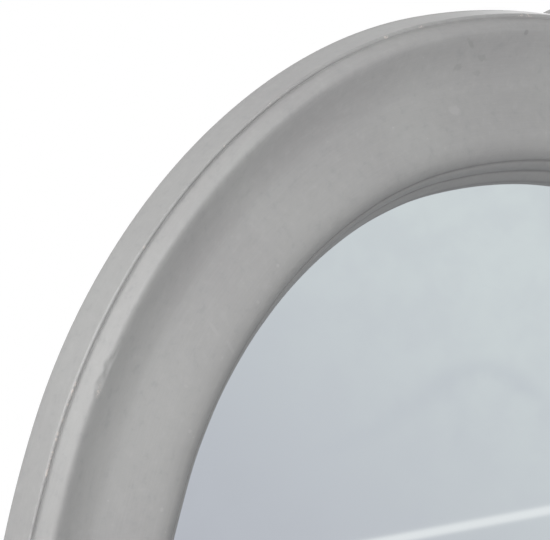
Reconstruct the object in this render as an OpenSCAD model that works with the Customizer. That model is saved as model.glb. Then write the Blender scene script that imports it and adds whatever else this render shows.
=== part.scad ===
// Heart-shaped wall mirror in a moulded and painted wooden frame.
// Millimetres. The wall is the plane y = 0, the mirror faces -Y and +Z is up.
// The origin lies on the wall, midway between the two wall hooks.
// The pieces are drawn lying face up on a bench, and upright() hangs them on the wall.

/* [Heart outline] */
// Distance from the centre line to the top of each lobe
apex_x = 165; // [158:1:172]
// Height of the lobe tops above the wall hooks
apex_y = 250; // [235:1:265]
// Outer radius of the flat crown of a lobe
crown_r = 385; // [370:1:400]
// Angle of the crown to each side of the lobe top
crown_half = 9.5; // [8:0.5:11]
// Outer radius between the crown and the cleft
cleft_r = 225; // [218:1:232]
// Outer radius of the round side of a lobe
lobe_r = 241; // [230:1:250]
// Outer radius of the long flank
flank_r = 412; // [400:1:425]
// Outward direction where the flank starts
flank_start = 164; // [160:0.5:167]
// Outward direction where the straight rail starts
rail_start = 224; // [221:0.5:227]

/* [Moulding] */
// Width of the moulding seen from the front
moulding_w = 80; // [77:0.5:83]
// Height of the outer side wall above the back
side_h = 16.4; // [15:0.1:18]
// Depth of the shallow groove inside the outer arris
quirk_d = 0.9; // [0.6:0.1:1.2]
// Distance of the shallow groove from the outer edge
quirk_u = 3; // [2.6:0.1:3.4]
// Height of the outer ridge
ridge_h = 24.4; // [22:0.1:26]
// Distance of the ridge from the outer edge
ridge_u = 6.4; // [5.5:0.1:7.5]
// Height of the cove's floor
cove_h = 18; // [17:0.1:19]
// Distance of the cove's floor from the outer edge
cove_u = 29; // [26:0.5:32]
// Height of the inner crest
crest_h = 28.8; // [27:0.1:31]
// Width of the stepped slope from the inner crest to the mirror
slope_w = 20; // [18.5:0.5:21.5]
// Height of the lip's front edge
lip_h = 11.4; // [10:0.1:13]

/* [Mirror and back] */
// Thickness of the mirror pane
pane_t = 4; // [3:0.5:5]
// How far the lip covers the pane
lip_lap = 5; // [4:0.5:6]
// Gap round the pane, filled at the edge blocks
pane_gap = 2.5; // [2:0.5:3]
// Thickness of the liner sheet behind the pane
liner_t = 1; // [0.5:0.5:1.5]
// Thickness of the backing board
board_t = 3; // [2.5:0.5:3.5]
// Width of the ledge that the board lies on
board_ledge = 10.5; // [9.5:0.5:11.5]
// Gap round the backing board
board_gap = 0.5; // [0.3:0.1:1]
// Length of an edge block
block_l = 24; // [16:1:30]
// Shank radius of a backing board screw
board_screw_r = 1.5; // [1.25:0.05:1.6]
// Length of a backing board screw
board_screw_l = 13; // [11:0.5:15]

/* [Frame joints] */
// Length of a joint biscuit
biscuit_l = 50; // [44:1:53]
// Width of a joint biscuit across the joint
biscuit_w = 20; // [16:1:24]
// Thickness of a joint biscuit
biscuit_t = 4; // [3.5:0.5:4.5]
// Depth of the biscuit's middle from the back of the frame
biscuit_v = 7.5; // [7:0.5:8.5]

/* [Crest] */
// Distance of the leaf's outer end from the centre line
leaf_end = 142; // [136:1:150]
// Thickness of the carved leaves
leaf_t = 12; // [10:0.5:13]
// Outer radius of the shell
shell_r = 60; // [54:1:66]
// Number of flutes in the shell
flutes = 9; // [7:2:11]
// Thickness of the flutes at the shell's edge
flute_d = 19; // [17:0.5:21]
// Radius of a crest dowel
dowel_r = 3; // [2.5:0.5:4]
// Length of a crest dowel
dowel_l = 24; // [20:1:28]
// Height of the dowels above the frame's back
dowel_v = 8; // [7:0.5:9]

/* [Hangers] */
// Thickness of the hanger strap
strap_t = 1.2; // [1:0.1:1.4]
// Width of the hanger strap
strap_w = 14; // [12:0.5:16]
// Length of the strap below the pivot
strap_l = 50; // [48:1:56]
// Radius of the ring's wire
wire_r = 1.5; // [1.3:0.05:1.6]
// Half the width of the ring between wire centres
ring_half = 12; // [11:0.5:14]
// Length of the ring's straight legs
ring_leg = 8; // [6:0.5:9]
// Shank radius of a hanger screw
hanger_screw_r = 1.75; // [1.5:0.05:2]
// Length of a hanger screw under its head
hanger_screw_l = 12; // [10:0.5:13]

/* [Wall bumpers] */
// Height of a bumper, which sets how far the frame's back is from the wall
bumper_h = 6; // [6:0.5:10]
// Radius of a bumper
bumper_r = 10; // [8:0.5:12]

/* [Hidden] */
$fn = 180;
// Clearance of a loose fit, such as a screw in its hole
fit = 0.05;
// Clearance of a biscuit in its slot, and between crest pieces
joint_gap = 0.1;
// Size of a cutting block, larger than the mirror
far = 1200;

paint = [0.66, 0.66, 0.65];
beech = [0.82, 0.66, 0.46];
silver = [0.78, 0.83, 0.86];
steel = [0.72, 0.72, 0.70];
felt = [0.30, 0.30, 0.31];

// Distances in from the outer edge
crest_u = moulding_w - slope_w;
pane_u = moulding_w - lip_lap;
pane_rebate_u = pane_u - pane_gap;
board_rebate_u = pane_rebate_u - board_ledge;
board_u = board_rebate_u + board_gap;
screw_u = (board_u + pane_rebate_u) / 2;
middle_u = board_rebate_u / 2;
// Height of the rebate that the pane lies in
lip_back = board_t + liner_t + pane_t;

function toward(a) = [cos(a), sin(a)];

// Centres of the left half's arcs: each arc is tangent to the next
crown_c = [-apex_x, apex_y - crown_r];
cleft_c = crown_c + (crown_r - cleft_r) * toward(90 - crown_half);
lobe_c = crown_c + (crown_r - lobe_r) * toward(90 + crown_half);
flank_c = lobe_c + (lobe_r - flank_r) * toward(flank_start);
rail_p = flank_c + flank_r * toward(rail_start);

// Direction in which the arc at distance u from the edge meets the centre line
function cleft_angle(u) = acos(-cleft_c.x / (cleft_r - u));
// A point of the rail, u in from its edge and a length l along it
function rail_at(u, l) = rail_p - u * toward(rail_start) + l * toward(rail_start + 90);
// Length of the rail to the centre line at distance u from its edge
function rail_length(u) = -rail_at(u, 0).x / cos(rail_start + 90);

// Places on the left half: centre, outer radius and direction of an arc
cleft_joint = [0, cleft_c.y + (cleft_r - middle_u) * sin(cleft_angle(middle_u))];
tip_joint = rail_at(middle_u, rail_length(middle_u));
arc_joints = [
    [crown_c, crown_r, 90 - crown_half],
    [lobe_c, lobe_r, 90 + crown_half],
    [flank_c, flank_r, flank_start],
    [flank_c, flank_r, rail_start]
];
function on_arc(place, u) = place[0] + (place[1] - u) * toward(place[2]);

// Points of a cubic curve from a to d, without a
function curve(a, b, c, d, n) = [
    for (i = [1:n])
        let (t = i / n, s = 1 - t)
        s * s * s * a + 3 * s * s * t * b + 3 * s * t * t * c + t * t * t * d
];

// Points of the moulding: distance in from the outer edge, height above the back
quirk = [quirk_u, side_h - quirk_d];
ridge = [ridge_u, ridge_h];
cove = [cove_u, cove_h];
crest = [crest_u, crest_h];
first_step = [crest_u + 5.6, crest_h - 1.4];
second_step = [crest_u + 11.3, crest_h - 6.3];
lip = [moulding_w, lip_h];

moulding = concat(
    [[0, 0], [0, side_h - 0.7], [0.2, side_h - 0.2], [0.7, side_h], [1.2, side_h - 0.1], quirk],
    curve(quirk, quirk + [0.3, 4.5], ridge - [2, 0], ridge, 9),
    curve(ridge, ridge + [3.4, 0], cove - [11, 0], cove, 12),
    curve(cove, cove + [8, 0], crest - [15, 0], crest, 12),
    curve(crest, crest + [2.6, 0], first_step + [-0.4, 0.8], first_step, 4),
    curve(first_step, first_step + [2.4, 0.4], second_step + [-0.6, 3.2], second_step, 7),
    curve(second_step, second_step + [2.8, 0.3], lip + [-0.6, 5.6], lip, 8),
    [
        [moulding_w + 0.4, lip_back],
        [pane_rebate_u, lip_back],
        [pane_rebate_u, board_t],
        [board_rebate_u, board_t],
        [board_rebate_u, 0]
    ]
);

// Hangs what lies face up on the bench on the wall
module upright() translate([0, -bumper_h, 0]) rotate([90, 0, 0]) children();

// Copies the left half to the right
module both_sides() {
    children();
    mirror([1, 0, 0]) children();
}

// Keeps what lies left of the centre line
module left_half() {
    intersection() {
        children();
        translate([-far, -far, -far / 2]) cube([far, 2 * far, far]);
    }
}

// Moulding turned about an arc's centre, between two directions
module moulded_arc(centre, r, from, to) {
    translate([centre.x, centre.y, 0])
        rotate([0, 0, from])
            rotate_extrude(angle = to - from)
                polygon([for (p = moulding) [r - p.x, p.y]]);
}

// Straight moulding that runs from the flank past the tip
module moulded_rail() {
    run = rail_length(0) + moulding_w;
    translate([rail_p.x, rail_p.y, 0])
        rotate([0, 0, rail_start])
            translate([0, run, 0])
                rotate([90, 0, 0])
                    linear_extrude(run) polygon([for (p = moulding) [-p.x, p.y]]);
}

// Flat lens of a joint biscuit, its length along X, enlarged by grow
module biscuit(grow = 0) {
    l = biscuit_l / 2 + grow;
    w = biscuit_w / 2 + grow;
    r = (l * l + w * w) / (2 * w);
    h = biscuit_t + 2 * grow;
    intersection() {
        translate([0, r - w, biscuit_v - h / 2]) cylinder(r = r, h = h);
        translate([0, w - r, biscuit_v - h / 2]) cylinder(r = r, h = h);
    }
}

module arc_biscuit(place, grow = 0) {
    p = on_arc(place, middle_u);
    translate([p.x, p.y, 0]) rotate([0, 0, place[2]]) biscuit(grow);
}

module mitre_biscuit(p, grow = 0) {
    translate([p.x, p.y, 0]) rotate([0, 0, 90]) biscuit(grow);
}

// Board screws of the left half, each with the number of the segment it enters
board_screw_spots = [
    [0, on_arc([cleft_c, cleft_r, 55], screw_u)],
    [1, on_arc([crown_c, crown_r, 90], screw_u)],
    [2, on_arc([lobe_c, lobe_r, 116], screw_u)],
    [2, on_arc([lobe_c, lobe_r, 148], screw_u)],
    [3, on_arc([flank_c, flank_r, 180], screw_u)],
    [3, on_arc([flank_c, flank_r, 205], screw_u)],
    [4, rail_at(screw_u, 0.15 * rail_length(screw_u))],
    [4, rail_at(screw_u, 0.75 * rail_length(screw_u))]
];

// Countersunk screw with its head level with the back, enlarged by grow
module board_screw(grow = 0) {
    head_h = board_screw_r;
    point_h = 2 * board_screw_r;
    cylinder(r1 = 2 * board_screw_r + grow, r2 = board_screw_r + grow, h = head_h);
    cylinder(r = board_screw_r + grow, h = board_screw_l - point_h + grow);
    translate([0, 0, board_screw_l - point_h + grow])
        cylinder(r1 = board_screw_r + grow, r2 = 0.2, h = point_h);
}

module board_screws_at(segment, grow = 0) {
    for (spot = board_screw_spots)
        if (segment < 0 || spot[0] == segment)
            translate([spot[1].x, spot[1].y, 0]) board_screw(grow);
}

// Place on the left half's outer edge, above the hangers, at distance x from the centre line
crown_edge_x = -(crown_c + crown_r * toward(90 - crown_half)).x;
function top_at(x) = x < crown_edge_x
    ? [cleft_c, cleft_r, acos((-x - cleft_c.x) / cleft_r)]
    : [crown_c, crown_r, acos((-x - crown_c.x) / crown_r)];

// Places along a leaf: a share of the way from the shell's edge to the last lobe
end_r = 24;
end_slope = 32;
end_x = leaf_end - end_r * sin(end_slope);
function leaf_place(share) = top_at(shell_r + share * (end_x - shell_r));

// Crest dowels of the left half, and how far they stand out of the frame's edge
dowel_out = 10;
shell_dowel = top_at(16);
leaf_dowels = [leaf_place(0.12), leaf_place(0.78)];

module dowel_at(place, grow = 0) {
    p = on_arc(place, dowel_l - dowel_out);
    translate([p.x, p.y, dowel_v])
        rotate([0, 0, place[2]])
            rotate([0, 90, 0])
                translate([0, 0, -grow]) cylinder(r = dowel_r + grow, h = dowel_l + 2 * grow);
}

module all_dowels(grow = 0) {
    dowel_at(shell_dowel, grow);
    for (place = leaf_dowels) dowel_at(place, grow);
}

// The hangers sit on the middle of the flank, with the ring tops at the wall hooks
pivot_y = -(ring_leg + ring_half - wire_r);
pivot_v = -(strap_t + 0.2 + wire_r);
hanger_x = flank_c.x - sqrt(pow(flank_r - middle_u, 2) - pow(pivot_y - flank_c.y, 2));
barrel_r = wire_r + fit + strap_t;
first_screw = ring_leg + ring_half + wire_r + 6;
hanger_screw_ys = [pivot_y - first_screw, pivot_y - strap_l + 8];

module hanger_screw_holes() {
    for (y = hanger_screw_ys)
        translate([hanger_x, y, -1])
            cylinder(r = hanger_screw_r + fit, h = hanger_screw_l - strap_t + fit + 1);
}

// Frame segments of the left half, from the cleft round to the tip
module cleft_segment() {
    color(paint) upright() difference() {
        left_half() moulded_arc(cleft_c, cleft_r, 0, 90 - crown_half);
        mitre_biscuit(cleft_joint, joint_gap);
        arc_biscuit(arc_joints[0], joint_gap);
        board_screws_at(0, fit);
        dowel_at(shell_dowel, fit);
        dowel_at(leaf_dowels[0], fit);
    }
}

module crown_segment() {
    color(paint) upright() difference() {
        moulded_arc(crown_c, crown_r, 90 - crown_half, 90 + crown_half);
        arc_biscuit(arc_joints[0], joint_gap);
        arc_biscuit(arc_joints[1], joint_gap);
        board_screws_at(1, fit);
        dowel_at(leaf_dowels[1], fit);
    }
}

module lobe_segment() {
    color(paint) upright() difference() {
        moulded_arc(lobe_c, lobe_r, 90 + crown_half, flank_start);
        arc_biscuit(arc_joints[1], joint_gap);
        arc_biscuit(arc_joints[2], joint_gap);
        board_screws_at(2, fit);
    }
}

module flank_segment() {
    color(paint) upright() difference() {
        moulded_arc(flank_c, flank_r, flank_start, rail_start);
        arc_biscuit(arc_joints[2], joint_gap);
        arc_biscuit(arc_joints[3], joint_gap);
        board_screws_at(3, fit);
        hanger_screw_holes();
    }
}

module rail_segment() {
    color(paint) upright() difference() {
        left_half() moulded_rail();
        arc_biscuit(arc_joints[3], joint_gap);
        mitre_biscuit(tip_joint, joint_gap);
        board_screws_at(4, fit);
    }
}

module frame_cleft_left() cleft_segment();
module frame_cleft_right() mirror([1, 0, 0]) cleft_segment();
module frame_crown_left() crown_segment();
module frame_crown_right() mirror([1, 0, 0]) crown_segment();
module frame_lobe_left() lobe_segment();
module frame_lobe_right() mirror([1, 0, 0]) lobe_segment();
module frame_flank_left() flank_segment();
module frame_flank_right() mirror([1, 0, 0]) flank_segment();
module frame_rail_left() rail_segment();
module frame_rail_right() mirror([1, 0, 0]) rail_segment();

module joint_biscuits() {
    color(beech) upright() {
        mitre_biscuit(cleft_joint);
        mitre_biscuit(tip_joint);
        both_sides() for (place = arc_joints) arc_biscuit(place);
    }
}

// Points of an arc, one every two degrees or closer
function arc_points(centre, r, from, to) =
    let (n = ceil(abs(to - from) / 2))
    [for (i = [0:n]) centre + r * toward(from + (to - from) * i / n)];

// Left half of the outline at distance u from the edge, from the cleft to the tip
function half_heart(u) = concat(
    arc_points(cleft_c, cleft_r - u, cleft_angle(u), 90 - crown_half),
    arc_points(crown_c, crown_r - u, 90 - crown_half, 90 + crown_half),
    arc_points(lobe_c, lobe_r - u, 90 + crown_half, flank_start),
    arc_points(flank_c, flank_r - u, flank_start, rail_start),
    [rail_at(u, rail_length(u))]
);

module heart_sheet(u, from, thickness) {
    half = half_heart(u);
    n = len(half);
    translate([0, 0, from])
        linear_extrude(thickness)
            polygon(concat(half, [for (i = [1:n - 2]) [-half[n - 1 - i].x, half[n - 1 - i].y]]));
}

module mirror_pane() color(silver) upright() heart_sheet(pane_u, board_t + liner_t, pane_t);

module liner_sheet() color("tan") upright() heart_sheet(pane_u + 1, board_t, liner_t);

module backing_board() {
    color(beech) upright() difference() {
        heart_sheet(board_u, 0, board_t);
        both_sides() board_screws_at(-1, fit);
    }
}

module board_screws() color(steel) upright() both_sides() board_screws_at(-1);

// Blocks that centre the pane in its rebate
block_places = [
    [cleft_c, cleft_r, 62],
    [crown_c, crown_r, 95],
    [lobe_c, lobe_r, 138],
    [flank_c, flank_r, 176],
    [flank_c, flank_r, 208]
];

module edge_blocks() {
    from = board_t + liner_t;
    color(felt) upright() both_sides() {
        for (place = block_places) {
            inner = place[1] - pane_u;
            sweep = block_l / inner * 180 / PI;
            translate([place[0].x, place[0].y, from])
                rotate([0, 0, place[2] - sweep / 2])
                    rotate_extrude(angle = sweep)
                        translate([inner, 0]) square([pane_gap, pane_t]);
        }
        middle = rail_at(pane_rebate_u, 0.55 * rail_length(pane_rebate_u));
        translate([middle.x, middle.y, from])
            rotate([0, 0, rail_start])
                translate([-pane_gap, -block_l / 2, 0]) cube([pane_gap, block_l, pane_t]);
    }
}

// Space that the frame takes where the crest sits on it
module frame_space() heart_sheet(-joint_gap, -moulding_w / 2, moulding_w);

// Lobes of a leaf: place, how far the centre is outside the frame's edge, and radius
leaf_lobes = [
    [1, -end_r * cos(end_slope), end_r],
    [0.72, -11, 26],
    [0.36, -2, 27],
    [0, 5, 28]
];
leaf_back = 1.5;
shell_c = [0, cleft_c.y + cleft_r * sin(cleft_angle(0)) + 16];

// Leaf of overlapping lobes with a tapered midrib from the shell to the last lobe
module crest_leaf() {
    rib_r1 = 4.5;
    rib_r2 = 2;
    rib_from = on_arc(leaf_place(0), -15);
    rib_run = on_arc(leaf_place(1), -3) - rib_from;
    color(paint) upright() difference() {
        union() {
            for (lobe = leaf_lobes) {
                c = on_arc(leaf_place(lobe[0]), -lobe[1]);
                translate([c.x, c.y, leaf_back])
                    cylinder(r1 = lobe[2], r2 = lobe[2] - 3, h = leaf_t);
            }
            translate([rib_from.x, rib_from.y, leaf_back + leaf_t])
                rotate([0, 0, atan2(rib_run.y, rib_run.x)])
                    rotate([0, 90, 0]) cylinder(r1 = rib_r1, r2 = rib_r2, h = norm(rib_run));
        }
        frame_space();
        translate([shell_c.x, shell_c.y, -moulding_w / 2])
            cylinder(r = shell_r + joint_gap, h = moulding_w);
        for (place = leaf_dowels) dowel_at(place, fit);
    }
}

module crest_leaf_left() crest_leaf();
module crest_leaf_right() mirror([1, 0, 0]) crest_leaf();

// Fluted shell: a disc, a scallop at the end of each flute, a rib up to it and a boss in the middle
module crest_shell() {
    span = 200;
    edge_r = flute_d / 2;
    edge_out = shell_r - edge_r;
    edge_step = 0.6;
    rib_r1 = 2;
    rib_r2 = edge_r - 2.5;
    boss_r = 13;
    boss_h = 12;
    boss_sunk = 4;
    color(paint) upright() difference() {
        translate([shell_c.x, shell_c.y, leaf_back]) {
            cylinder(r1 = edge_out + 1, r2 = edge_out - 1, h = leaf_t);
            for (i = [0:flutes - 1])
                rotate([0, 0, (180 - span) / 2 + span * i / (flutes - 1)]) {
                    translate([edge_out, 0, 0])
                        cylinder(r1 = edge_r, r2 = edge_r - 2, h = leaf_t - edge_step);
                    translate([0, 0, leaf_t - rib_r1])
                        rotate([0, 90, 0]) cylinder(r1 = rib_r1, r2 = rib_r2, h = edge_out + 1);
                }
            translate([0, 0, leaf_t - boss_sunk])
                cylinder(r1 = boss_r, r2 = boss_r - 5, h = boss_h);
        }
        frame_space();
        both_sides() dowel_at(shell_dowel, fit);
    }
}

module crest_dowels() color(beech) upright() both_sides() all_dowels();

// Strap with a rolled end, which the ring turns in
module hanger_strap() {
    end_r = strap_w / 2;
    color(steel) upright() translate([hanger_x, 0, 0]) difference() {
        union() {
            translate([-strap_w / 2, pivot_y - strap_l + end_r, -strap_t])
                cube([strap_w, strap_l - end_r, strap_t]);
            translate([0, pivot_y - strap_l + end_r, -strap_t]) cylinder(r = end_r, h = strap_t);
            translate([-strap_w / 2, pivot_y, pivot_v])
                rotate([0, 90, 0]) cylinder(r = barrel_r, h = strap_w);
        }
        translate([-strap_w, pivot_y, pivot_v])
            rotate([0, 90, 0]) cylinder(r = wire_r + fit, h = 2 * strap_w);
        for (y = hanger_screw_ys)
            translate([0, y, -2 * strap_t]) cylinder(r = hanger_screw_r + fit, h = 3 * strap_t);
    }
}

// Ring that hangs down from its pivot
module hanger_ring() {
    color(steel) upright() translate([hanger_x, pivot_y, pivot_v]) {
        translate([-ring_half, 0, 0])
            rotate([0, 90, 0]) cylinder(r = wire_r, h = 2 * ring_half, $fn = 48);
        for (x = [-ring_half, ring_half]) translate([x, 0, 0]) {
            rotate([90, 0, 0]) cylinder(r = wire_r, h = ring_leg, $fn = 48);
            sphere(r = wire_r, $fn = 48);
        }
        translate([0, -ring_leg, 0])
            rotate([0, 0, 180])
                rotate_extrude(angle = 180)
                    translate([ring_half, 0]) circle(r = wire_r, $fn = 48);
    }
}

module hanger_plate_left() hanger_strap();
module hanger_plate_right() mirror([1, 0, 0]) hanger_strap();
module hanger_ring_left() hanger_ring();
module hanger_ring_right() mirror([1, 0, 0]) hanger_ring();

// Round-headed screws that hold the straps
module hanger_screws() {
    head_r = 2 * hanger_screw_r;
    head_h = hanger_screw_r;
    color(steel) upright() both_sides() for (y = hanger_screw_ys) translate([hanger_x, y, -strap_t]) {
        cylinder(r = hanger_screw_r, h = hanger_screw_l - 3);
        translate([0, 0, hanger_screw_l - 3]) cylinder(r1 = hanger_screw_r, r2 = 0.2, h = 3);
        translate([0, 0, -head_h]) cylinder(r1 = head_r - 1, r2 = head_r, h = head_h);
    }
}

bumper_spots = [
    on_arc([crown_c, crown_r, 90], middle_u),
    rail_at(middle_u, 0.6 * rail_length(middle_u))
];

module wall_bumpers() {
    color(felt) upright() both_sides() for (spot = bumper_spots)
        translate([spot.x, spot.y, -bumper_h]) cylinder(r1 = bumper_r - 1, r2 = bumper_r, h = bumper_h);
}

frame_cleft_left();
frame_cleft_right();
frame_crown_left();
frame_crown_right();
frame_lobe_left();
frame_lobe_right();
frame_flank_left();
frame_flank_right();
frame_rail_left();
frame_rail_right();
joint_biscuits();
mirror_pane();
liner_sheet();
backing_board();
board_screws();
edge_blocks();
crest_leaf_left();
crest_leaf_right();
crest_shell();
crest_dowels();
hanger_plate_left();
hanger_plate_right();
hanger_ring_left();
hanger_ring_right();
hanger_screws();
wall_bumpers();
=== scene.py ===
"""Heart-shaped wall mirror in a moulded, painted frame with a carved crest, dressed around its CAD model.

The sections follow the mirror as it is put together: frame, pane, back, hangers, crest and last the studio.
Pieces are drawn in millimetres as they lie on a bench: x to the right, y up the mirror, v up from the back
of the frame. hang() turns bench points into metres on the wall, where the mirror faces -Y and +Z is up.
"""

import bpy
import numpy as np
from mathutils import Matrix, Vector


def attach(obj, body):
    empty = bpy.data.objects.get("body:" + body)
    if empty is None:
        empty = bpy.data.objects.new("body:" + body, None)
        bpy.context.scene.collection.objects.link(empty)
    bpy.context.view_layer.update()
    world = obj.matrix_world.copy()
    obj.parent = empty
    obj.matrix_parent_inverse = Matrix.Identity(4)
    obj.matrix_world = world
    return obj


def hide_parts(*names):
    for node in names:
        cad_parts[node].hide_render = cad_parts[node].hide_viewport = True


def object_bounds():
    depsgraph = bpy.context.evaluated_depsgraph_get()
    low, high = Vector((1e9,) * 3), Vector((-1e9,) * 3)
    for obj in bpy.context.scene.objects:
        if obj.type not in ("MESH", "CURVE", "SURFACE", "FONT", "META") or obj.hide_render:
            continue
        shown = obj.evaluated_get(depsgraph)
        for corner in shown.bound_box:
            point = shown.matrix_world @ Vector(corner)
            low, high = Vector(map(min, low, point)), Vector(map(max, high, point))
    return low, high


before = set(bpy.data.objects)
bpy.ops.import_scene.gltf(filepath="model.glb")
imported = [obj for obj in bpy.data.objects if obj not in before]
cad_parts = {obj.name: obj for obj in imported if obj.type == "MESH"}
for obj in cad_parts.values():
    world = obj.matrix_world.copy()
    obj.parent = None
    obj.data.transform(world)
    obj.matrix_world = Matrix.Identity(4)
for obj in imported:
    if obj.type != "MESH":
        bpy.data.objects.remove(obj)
cad_low, cad_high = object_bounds()

# Frame. Ten beech segments, each sawn to its curve, moulded on the face and rebated behind, glued up over
# biscuits, filled and brushed with matt grey paint, which has rubbed and chipped along the edges.
bumper_h = 6.0
apex_x, apex_y = 165.0, 250.0
crown_r, cleft_r, lobe_r, flank_r = 385.0, 225.0, 241.0, 412.0
crown_half, flank_start, rail_start = 9.5, 164.0, 224.0
moulding_w, slope_w, lip_h, lip_back = 80.0, 20.0, 11.4, 8.0
side_h, quirk_u, quirk_v = 16.4, 1.9, 15.6
ridge_u, ridge_h = 6.4, 24.4
cove_u, cove_h = 29.0, 18.0
crest_u, crest_h = moulding_w - slope_w, 28.8
pane_rebate_u, board_rebate_u, board_t = 72.5, 62.0, 3.0
frame_step = 1.25
butt_gap = 0.004
crease = np.radians(62)


def toward(angle):
    """Unit vectors at angles in degrees, with x and y on the last axis."""
    a = np.radians(angle)
    return np.stack([np.cos(a), np.sin(a)], -1)


crown_c = np.array([-apex_x, apex_y - crown_r])
cleft_c = crown_c + (crown_r - cleft_r) * toward(90 - crown_half)
lobe_c = crown_c + (crown_r - lobe_r) * toward(90 + crown_half)
flank_c = lobe_c + (lobe_r - flank_r) * toward(flank_start)
rail_p = flank_c + flank_r * toward(rail_start)
rail_way = toward(rail_start + 90)


def cleft_angle(u):
    """Angle at which the cleft arc, u in from its edge, meets the centre line: acos of run over radius."""
    return np.degrees(np.arccos(-cleft_c[0] / (cleft_r - u)))


def arc_place(centre, r, first, last):
    """Place (s, u) on an arc: centre + (r - u) * toward(a), with a from first(u) to last as s grows."""

    def place(s, u):
        start = first(u) if callable(first) else first
        return centre + (r - u)[..., None] * toward(start + s * (last - start))

    return place


def rail_place(s, u):
    """Place (s, u) on the straight rail: u in from its edge, and s of the way to the centre line."""
    start = rail_p - u[..., None] * toward(rail_start)
    return start + (s * start[..., 0] / -rail_way[0])[..., None] * rail_way


def curve(a, b, c, d, n):
    """Cubic curve from a to d pulled by b and c, as n points without a."""
    t = np.linspace(0, 1, n + 1)[1:, None]
    s = 1 - t
    a, b, c, d = map(np.array, (a, b, c, d))
    return s**3 * a + 3 * s * s * t * b + 3 * s * t * t * c + t**3 * d


def ease(points, reach, sharp=25.0):
    """Rounds the corners of a closed outline that turn over sharp degrees: p +- reach along its edges."""
    before, after = np.roll(points, 1, 0), np.roll(points, -1, 0)
    into, out = points - before, after - points
    room_in, room_out = np.linalg.norm(into, axis=1), np.linalg.norm(out, axis=1)
    into, out = into / room_in[:, None], out / room_out[:, None]
    turn = np.degrees(np.arccos(np.clip((into * out).sum(1), -1, 1)))
    rounded = []
    for p, i, o, a, b, t in zip(points, into, out, room_in, room_out, turn):
        if t < sharp:
            rounded.append([p])
            continue
        start, end = p - i * min(reach, a / 3), p + o * min(reach, b / 3)
        rounded.append([start, (start + 2 * p + end) / 4, end])
    return np.concatenate(rounded)


def moulding():
    """Section of the frame as (u in from the outer edge, v above the back), from the outer back corner."""
    quirk, ridge, cove = [quirk_u, quirk_v], [ridge_u, ridge_h], [cove_u, cove_h]
    crest, lip = np.array([crest_u, crest_h]), np.array([moulding_w, lip_h])
    first_step, second_step = crest + [6.7, -3.7], crest + [12.2, -9.4]
    back = np.arange(board_rebate_u, 2, -4.0)
    section = np.concatenate(
        [
            [[0, 0], [0, 5], [0, 10], [0, 14], [0, side_h - 1.3], [0, side_h - 0.7]],
            [[0.2, side_h - 0.2], [0.7, side_h], [1.15, side_h - 0.15], [1.5, quirk_v + 0.3], quirk],
            curve(quirk, [quirk_u + 0.7, quirk_v + 1.6], [ridge_u - 3.1, ridge_h], ridge, 20),
            curve(ridge, [ridge_u + 3.4, ridge_h], [cove_u - 11, cove_h], cove, 24),
            curve(cove, [cove_u + 8, cove_h], [crest_u - 15, crest_h], crest, 28),
            curve(crest, crest + [2.6, 0], first_step + [-0.5, 1.1], first_step, 8),
            curve(first_step, first_step + [1.7, 0.5], second_step + [-0.3, 2.2], second_step, 11),
            curve(second_step, second_step + [2.2, -0.4], lip + [-0.9, 2.6], lip, 14),
            [[moulding_w + 0.4, lip_back], [pane_rebate_u, lip_back], [pane_rebate_u, board_t]],
            [[board_rebate_u, board_t]],
            np.stack([back, 0 * back], -1),
        ]
    )
    return ease(section, 0.3)


def hang(x, y, v):
    """Points on the wall, in metres, for bench points: (x, -bumper_h - v, y) / 1000."""
    return np.stack(np.broadcast_arrays(x, -bumper_h - v, y), -1) / 1000


def skin(name, grids, turned=False):
    """Solids round grids of points, whose rows are closed sections; the first and last rows are filled."""
    faces = []
    first = 0
    for grid in grids:
        rows, cols = grid.shape[:2]
        index = first + np.arange(rows * cols).reshape(rows, cols)
        after = np.roll(index, -1, 1)
        quads = np.stack([index[:-1], index[1:], after[1:], after[:-1]], -1).reshape(-1, 4)
        ends = [index[0], index[-1][::-1]]
        if turned:
            quads, ends = quads[:, ::-1], [end[::-1] for end in ends]
        faces += quads.tolist() + [end.tolist() for end in ends]
        first += rows * cols
    mesh = bpy.data.meshes.new(name)
    mesh.from_pydata(np.concatenate([grid.reshape(-1, 3) for grid in grids]), [], faces)
    mesh.polygons.foreach_set("use_smooth", np.ones(len(mesh.polygons), bool))
    mesh.set_sharp_from_angle(angle=crease)
    piece = bpy.data.objects.new(name, mesh)
    bpy.context.scene.collection.objects.link(piece)
    return piece


def label(piece, name, values):
    """Gives each point of a piece a number that its finish can read."""
    layer = piece.data.attributes.new(name, "FLOAT", "POINT")
    layer.data.foreach_set("value", np.ascontiguousarray(values, np.float32).ravel())


def chart(piece, name, across, up):
    """Gives a piece a UV map with the two numbers of each of its points."""
    corners = np.empty(len(piece.data.loops), int)
    piece.data.loops.foreach_get("vertex_index", corners)
    pairs = np.stack(np.broadcast_arrays(across, up), -1).reshape(-1, 2)
    piece.data.uv_layers.new(name=name).data.foreach_set("uv", pairs[corners].ravel())


def fit(piece, body, slot, *nodes):
    """Hangs a piece on a body, in place of CAD nodes; the slot is not used."""
    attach(piece, body)
    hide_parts(*nodes)


chance = np.random.default_rng(11)
wave_height = 0.035
wave_lengths = chance.uniform(35, 260, 12)
wave_widths = chance.uniform(25, 90, 12)
wave_phases = chance.uniform(0, 6.28, (12, 2))


def hand_waves(length, u):
    """Slight unevenness of hand-sanded moulding: a sum of sines along the run times sines across it."""
    total = np.zeros(np.broadcast(length, u).shape)
    for run, width, (a, b) in zip(wave_lengths, wave_widths, wave_phases):
        total = total + np.sin(6.28 * length / run + a) * np.sin(6.28 * u / width + b)
    return wave_height * total


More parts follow.
